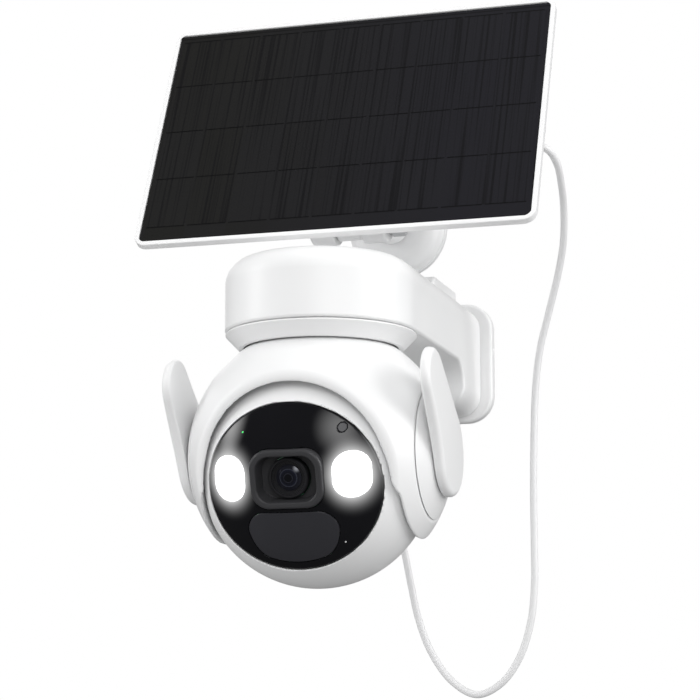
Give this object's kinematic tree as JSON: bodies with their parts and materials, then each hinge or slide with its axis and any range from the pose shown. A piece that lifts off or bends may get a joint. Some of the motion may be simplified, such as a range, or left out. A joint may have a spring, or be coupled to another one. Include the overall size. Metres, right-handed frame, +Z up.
{
  "type": "solar-powered security camera",
  "caption": "Wall-mounted pan and tilt ball camera in a yoke under an arm, with folding antennas, spotlights and a separate tilting solar panel joined by a cable.",
  "frame": {"origin": "middle of the wall plate's back face, which lies on the wall", "axes": "+Z up, the wall is the plane Y = 0, the camera looks along -Y, and +X is to the right of someone who faces the camera"},
  "size_m": [0.1901, 0.1816, 0.3201],
  "materials": {
    "white_plastic": "satin moulded, very fine grain",
    "grey_plastic": "satin moulded",
    "black_plastic": "satin moulded",
    "face_black": "polished black window",
    "lamp_lens": "frosted lamp window",
    "window_grey": "satin infrared window",
    "optic_glass": "coated lens",
    "solar_glass": "near-black cells under smooth glass",
    "steel": "plain zinc-plated",
    "gear_plastic": "natural acetal",
    "circuit_board": "solder mask",
    "motor_can": "satin can",
    "cell_wrap": "shrink wrap over a steel can",
    "cable_jacket": "smooth soft jacket",
    "soft_rubber": "soft moulded"
  },
  "bodies": {
    "root": {"wall_plate": "white_plastic", "arm_housing": "white_plastic", "battery_cover": "white_plastic", "base_ring": "white_plastic", "base_chassis": "grey_plastic", "base_screw_1": "steel", "base_screw_2": "steel", "base_screw_3": "steel", "pan_bearing": "steel", "pan_motor": "motor_can", "battery_cell_left": "cell_wrap", "battery_cell_right": "cell_wrap", "battery_tray": "black_plastic", "power_socket": "black_plastic", "power_plug": "white_plastic", "solar_cable": "cable_jacket", "panel_wall_base": "white_plastic", "panel_arm": "white_plastic", "panel_hinge_pin": "steel"},
    "pan_pinion": {"pan_pinion": "gear_plastic"},
    "yoke": {"turntable_hub": "gear_plastic", "pan_ring_gear": "gear_plastic", "yoke_shell": "white_plastic", "left_cheek_cap": "white_plastic", "right_cheek_cap": "white_plastic", "tilt_shaft_left": "steel", "tilt_shaft_right": "steel", "tilt_gear": "gear_plastic"},
    "left_antenna": {"left_antenna": "white_plastic", "left_antenna_pivot": "gear_plastic"},
    "right_antenna": {"right_antenna": "white_plastic", "right_antenna_pivot": "gear_plastic"},
    "ball": {"ball_front_shell": "white_plastic", "ball_rear_shell": "white_plastic", "ball_screw_1": "steel", "ball_screw_2": "steel", "face_glass": "face_black", "led_window_left": "lamp_lens", "led_window_right": "lamp_lens", "pir_window": "window_grey", "light_sensor": "window_grey", "lens_hood": "black_plastic", "lens_barrel": "black_plastic", "lens_glass": "optic_glass", "main_board": "circuit_board", "pir_sensor": "steel", "speaker": "black_plastic", "tilt_motor": "motor_can", "tilt_bush_left": "gear_plastic", "tilt_bush_right": "gear_plastic"},
    "tilt_pinion": {"tilt_pinion": "gear_plastic"},
    "service_plug": {"service_plug": "soft_rubber"},
    "reset_button": {"reset_button": "black_plastic"},
    "panel": {"panel_frame": "white_plastic", "solar_laminate": "solar_glass", "junction_box": "white_plastic", "cable_gland": "white_plastic", "panel_knuckle": "white_plastic"},
    "clamp_knob": {"clamp_knob": "grey_plastic"}
  },
  "joints": [
    {"name": "pan", "type": "hinge", "parent": "root", "child": "yoke", "pos_m": [0, -0.129, 0], "axis": [0, 0, 1], "range_deg": [-170, 170]},
    {"name": "pan_pinion_spin", "type": "hinge", "parent": "root", "child": "pan_pinion", "pos_m": [0, -0.0987, 0], "axis": [0, 0, 1], "range_deg": [-681, 681]},
    {"name": "tilt", "type": "hinge", "parent": "yoke", "child": "ball", "pos_m": [0, -0.133, -0.0665], "axis": [1, 0, 0], "range_deg": [-27, 53]},
    {"name": "tilt_pinion_spin", "type": "hinge", "parent": "ball", "child": "tilt_pinion", "pos_m": [0, -0.13864, -0.04804], "axis": [1, 0, 0], "range_deg": [-149, 149]},
    {"name": "left_antenna_fold", "type": "hinge", "parent": "yoke", "child": "left_antenna", "pos_m": [-0.0574, -0.129, -0.06], "axis": [1, 0, 0], "range_deg": [-90, 45]},
    {"name": "right_antenna_fold", "type": "hinge", "parent": "yoke", "child": "right_antenna", "pos_m": [0.0574, -0.129, -0.06], "axis": [1, 0, 0], "range_deg": [-90, 45]},
    {"name": "service_plug_pull", "type": "slide", "parent": "ball", "child": "service_plug", "axis": [0, 0.515, -0.8572], "range_m": [0, 0.006]},
    {"name": "reset_press", "type": "slide", "parent": "ball", "child": "reset_button", "axis": [0, -0.515, 0.8572], "range_m": [0, 0.0008], "stiffness_N_per_m": 250, "springref_m": -0.001},
    {"name": "panel_tilt", "type": "hinge", "parent": "root", "child": "panel", "pos_m": [0, -0.08348, 0.05523], "axis": [1, 0, 0], "range_deg": [-32, 18], "deforming": ["solar_cable"]},
    {"name": "clamp_knob_turn", "type": "hinge", "parent": "root", "child": "clamp_knob", "pos_m": [0, -0.08348, 0.05523], "axis": [1, 0, 0], "range_deg": [-180, 180]}
  ],
  "couplings": [
    {"joint": "pan_pinion_spin", "follows": "pan", "ratio": -4},
    {"joint": "tilt_pinion_spin", "follows": "tilt", "ratio": 2.8}
  ]
}
